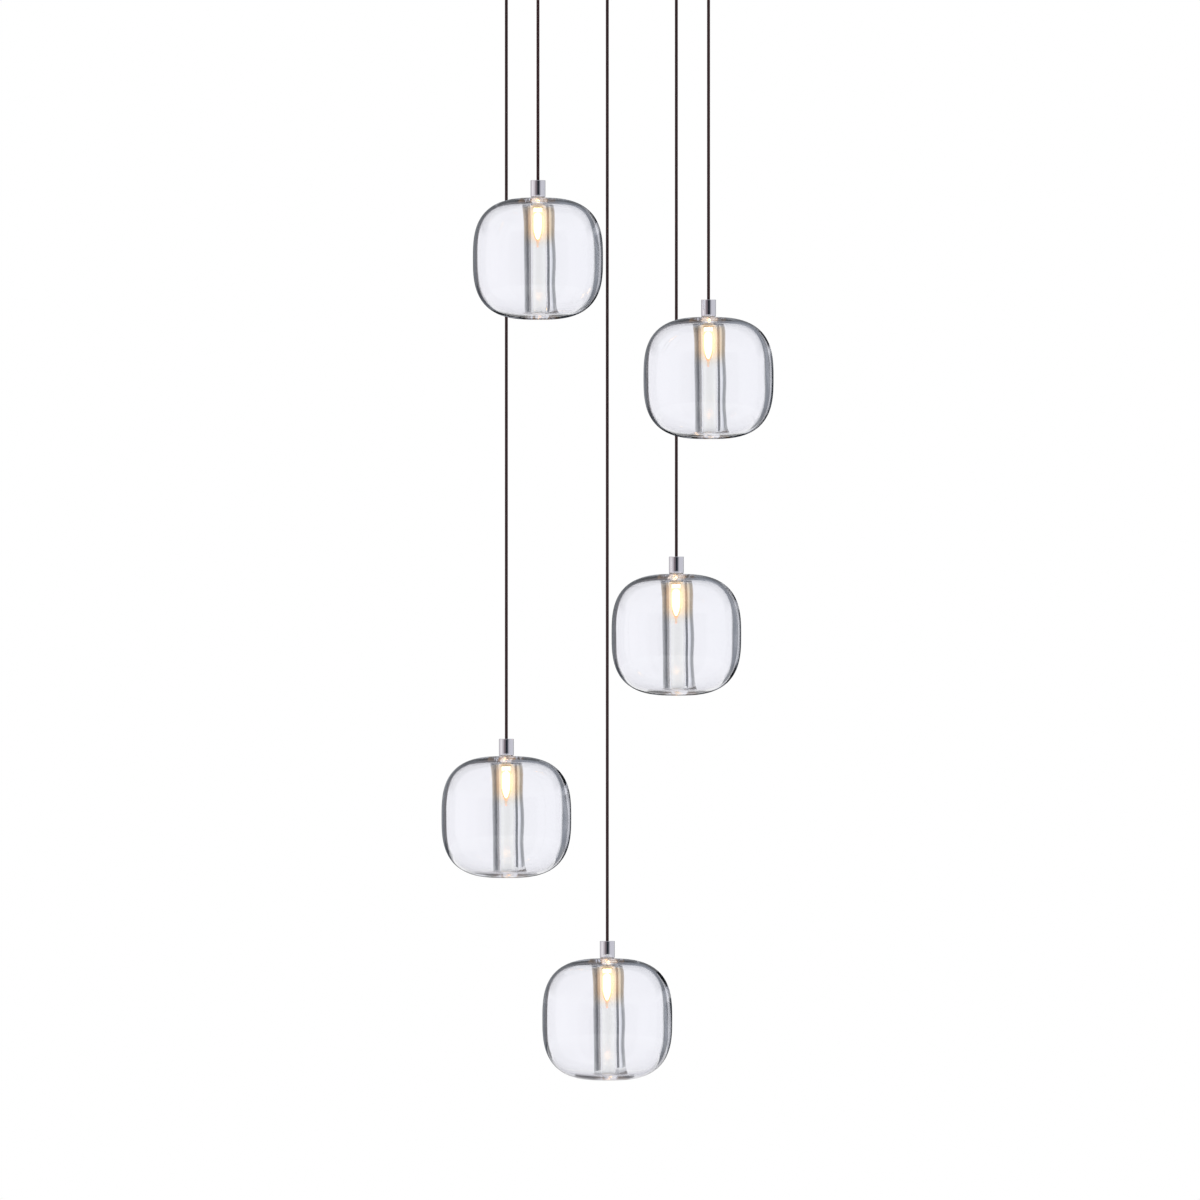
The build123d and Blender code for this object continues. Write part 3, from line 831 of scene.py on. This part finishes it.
coil_points = []
for i in range(COIL_TURNS * TURN_POINTS + 1):
    turn = 2 * math.pi * i / TURN_POINTS
    height = COIL_TOP + (COIL_BASE - COIL_TOP) * i / (COIL_TURNS * TURN_POINTS)
    coil_points.append((COIL_RADIUS * math.cos(turn), COIL_RADIUS * math.sin(turn), height))
filament = wire_piece("filament", coil_points, COIL_WIRE)
half = PIN_SPACING / 2
short_lead = [(-half, 0, PIN_TOP), (-half, 0, COIL_TOP), (COIL_RADIUS, 0, COIL_TOP)]
long_lead = [(half, 0, PIN_TOP), (half, 0, COIL_BASE), (COIL_RADIUS, 0, COIL_BASE)]
leads = [
    wire_piece("short_lead", short_lead, PIN_RADIUS),
    wire_piece("long_lead", long_lead, PIN_RADIUS),
]
work_on(filament)
for lead in leads:
    lead.select_set(True)
bpy.ops.object.join()
filament = bpy.context.object
smooth(filament, 50.0)
hot_wire = filament.data.attributes.new("heat", "FLOAT", "POINT")
for vertex, heat in zip(filament.data.vertices, hot_wire.data):
    heat.value = 1.0 if math.hypot(vertex.co.x, vertex.co.y) < HOT_RADIUS else 0.0

tungsten, shader, maker = new_finish("glowing_tungsten")
heat = maker.add("Attribute", {"attribute_name": "heat"}, {}, "Fac")
drawn = maker.noise(3000.0, 2.0)
maker.wire(
    shader,
    {
        "Base Color": maker.blend(drawn, (0.55, 0.5, 0.42), (0.75, 0.7, 0.6)),
        "Metallic": 1.0,
        "Roughness": 0.3 + 0.2 * drawn,
        "Emission Color": maker.blend(heat, (0.05, 0.02, 0.005), (1.0, 0.88, 0.66)),
        "Emission Strength": 3.0,
    },
)
filament.data.materials.append(tungsten)
hang_copies(filament, "coil_and_leads", "lamp", ["filament"])


# Room: a plain pale floor well below the lowest glass, even soft studio light, and the camera.
# The studio is white behind and round the glasses, with grey flags that draw their edges.
FLOOR_DROP = 0.35
FLOOR_RADIUS = 2.6
OFF = (0.0, 0.0, 0.0)
ON = (1.0, 1.0, 1.0)
deselect()
bpy.ops.mesh.primitive_circle_add(
    vertices=96, radius=FLOOR_RADIUS, fill_type="NGON", location=(0, 0, cad_low.z - FLOOR_DROP)
)
floor = bpy.context.object
floor.name = "floor"
pale_floor, shader, maker = new_finish("pale_floor")
maker.wire(shader, {"Base Color": (0.92, 0.92, 0.93, 1.0), "Roughness": 0.9})
place = maker.add("TexCoord", {}, {}, "Object")
out = maker.add("VectorMath", {"operation": "LENGTH"}, {0: place}, "Value")
stops = [(0.35, OFF), (0.95, ON)]
edge = maker.add("ValToRGB", {"stops": stops}, {"Fac": out * (1 / FLOOR_RADIUS)})
white = maker.add("Emission", {}, {"Color": (1.0, 1.0, 1.0, 1.0), "Strength": 1.0})
plain = Socket(pale_floor.node_tree, shader.outputs[0])
fade = maker.add("MixShader", {}, {0: edge, 1: plain, 2: white})
maker.wire(pale_floor.node_tree.nodes["Material Output"], {"Surface": fade})
floor.data.materials.append(pale_floor)

studio = bpy.data.worlds.new("studio")
studio.use_nodes = True
bpy.context.scene.world = studio
maker = Socket(studio.node_tree)
toward = maker.add("TexCoord", {}, {}, "Generated")
across = maker.add("SeparateXYZ", {}, {0: toward}, "X")
ahead = maker.add("SeparateXYZ", {}, {0: toward}, "Y")
upward = maker.add("SeparateXYZ", {}, {0: toward}, "Z")
reflections = maker.add("LightPath", {}, {}, "Glossy Depth")
passages = maker.add("LightPath", {}, {}, "Transmission Depth")
seen = maker.add("LightPath", {}, {}, "Is Camera Ray")
half_turn = maker.math("ARCTAN2", across, ahead) * (1 / math.pi) + 0.5
bearing = maker.math("FRACT", half_turn, 0.0)
sideways = 0.5 * across + 0.5
depth = 0.5 * ahead + 0.5
height = 0.5 * upward + 0.5
BLACK = (0.02, 0.024, 0.03)
INK = (0.075, 0.082, 0.096)
DARK = (0.13, 0.14, 0.16)
SLATE = (0.18, 0.2, 0.24)
GREY = (0.27, 0.28, 0.3)
STONE = (0.33, 0.325, 0.335)
SOFT = (0.4, 0.41, 0.44)
ROSE = (0.7, 0.66, 0.69)
PALE = (0.72, 0.73, 0.79)
CLEAR = (0.925, 0.926, 0.977)
WHITE = (1.0, 1.0, 1.0)
WALL_PASSAGES = 2.5
TUBE_PASSAGES = 4.5
BORE_PASSAGES = 6.5


def panels(at, stops):
    """Light that changes with a direction, in panels round the studio."""
    return maker.add("ValToRGB", {"stops": stops}, {"Fac": at})


edge_light = panels(
    bearing,
    [
        (0.28, CLEAR),
        (0.295, BLACK),
        (0.375, INK),
        (0.4, SLATE),
        (0.43, GREY),
        (0.455, GREY),
        (0.47, DARK),
        (0.495, BLACK),
        (0.548, BLACK),
        (0.56, PALE),
        (0.612, PALE),
        (0.627, DARK),
        (0.69, SLATE),
        (0.74, GREY),
        (0.76, CLEAR),
    ],
)
overhead = panels(height, [(0.53, OFF), (0.575, ON)])
underneath = panels(height, [(0.32, ON), (0.35, OFF)])
beyond = panels(depth, [(0.68, OFF), (0.74, ON)])
edge_light = maker.blend(overhead, edge_light, maker.blend(across > 0.0, INK, SLATE))
edge_light = maker.blend(underneath, edge_light, maker.blend(across > 0.0, PALE, GREY))
edge_light = maker.blend(beyond, CLEAR, edge_light)
lens_light = panels(
    bearing,
    [
        (0.0, GREY),
        (0.27, GREY),
        (0.29, PALE),
        (0.335, CLEAR),
        (0.6, CLEAR),
        (0.655, PALE),
        (0.667, BLACK),
        (0.71, BLACK),
        (0.76, DARK),
        (0.84, GREY),
        (1.0, SOFT),
    ],
)
core_light = panels(
    bearing,
    [
        (0.155, CLEAR),
        (0.185, STONE),
        (0.38, STONE),
        (0.45, DARK),
        (0.825, DARK),
        (0.855, CLEAR),
    ],
)
outer_light = panels(
    sideways,
    [
        (0.0, (0.97, 0.93, 0.95)),
        (0.012, (0.95, 0.91, 0.93)),
        (0.03, ROSE),
        (0.45, ROSE),
        (0.55, (0.66, 0.66, 0.71)),
    ],
)
front_flag = panels(
    sideways,
    [
        (0.0, (0.5, 0.46, 0.48)),
        (0.17, (0.34, 0.3, 0.32)),
        (0.24, (0.27, 0.23, 0.25)),
        (0.37, (0.17, 0.14, 0.16)),
        (0.44, BLACK),
        (0.63, BLACK),
        (0.7, DARK),
        (0.76, (0.34, 0.33, 0.37)),
        (0.83, (0.55, 0.54, 0.59)),
        (0.9, (0.62, 0.61, 0.66)),
    ],
)
in_front = panels(depth, [(0.12, ON), (0.2, OFF)])
grazing = panels(depth, [(0.9, OFF), (0.94, ON)])
outer_light = maker.blend(in_front, outer_light, front_flag)
rim_flag = maker.blend(across - upward > 0.0, GREY, BLACK)
rim_flag = maker.blend(upward > -0.1, BLACK, rim_flag)
outer_light = maker.blend(grazing, outer_light, rim_flag)
tube_light = maker.blend(passages > BORE_PASSAGES, lens_light, WHITE)
through_light = maker.blend(passages > TUBE_PASSAGES, CLEAR, tube_light)
inner_light = maker.blend(passages > WALL_PASSAGES, edge_light, CLEAR)
inner_light = maker.blend(passages > TUBE_PASSAGES, inner_light, core_light)
reflected_light = maker.blend(passages > 0.5, outer_light, inner_light)
light = maker.blend(reflections > 0.5, through_light, reflected_light)
light = maker.blend(seen, light, WHITE)
maker.wire(studio.node_tree.nodes["Background"], {"Color": light})

PICTURE_WIDTH = 1.2
CAMERA_DISTANCE = 50.0
CAMERA_SIDE = -0.0073
CAMERA_HEIGHT = -0.6592
lens = bpy.data.cameras.new("camera")
lens.lens = lens.sensor_width * CAMERA_DISTANCE / PICTURE_WIDTH
lens.clip_end = 4 * CAMERA_DISTANCE
camera = bpy.data.objects.new("camera", lens)
camera.location = (CAMERA_SIDE, -CAMERA_DISTANCE, CAMERA_HEIGHT)
camera.rotation_euler = (math.pi / 2, 0, 0)
bpy.context.scene.collection.objects.link(camera)
bpy.context.scene.camera = camera
bpy.context.scene.view_settings.view_transform = "Standard"
bpy.context.scene.cycles.max_bounces = 24
bpy.context.scene.cycles.transmission_bounces = 24
bpy.context.scene.cycles.glossy_bounces = 12
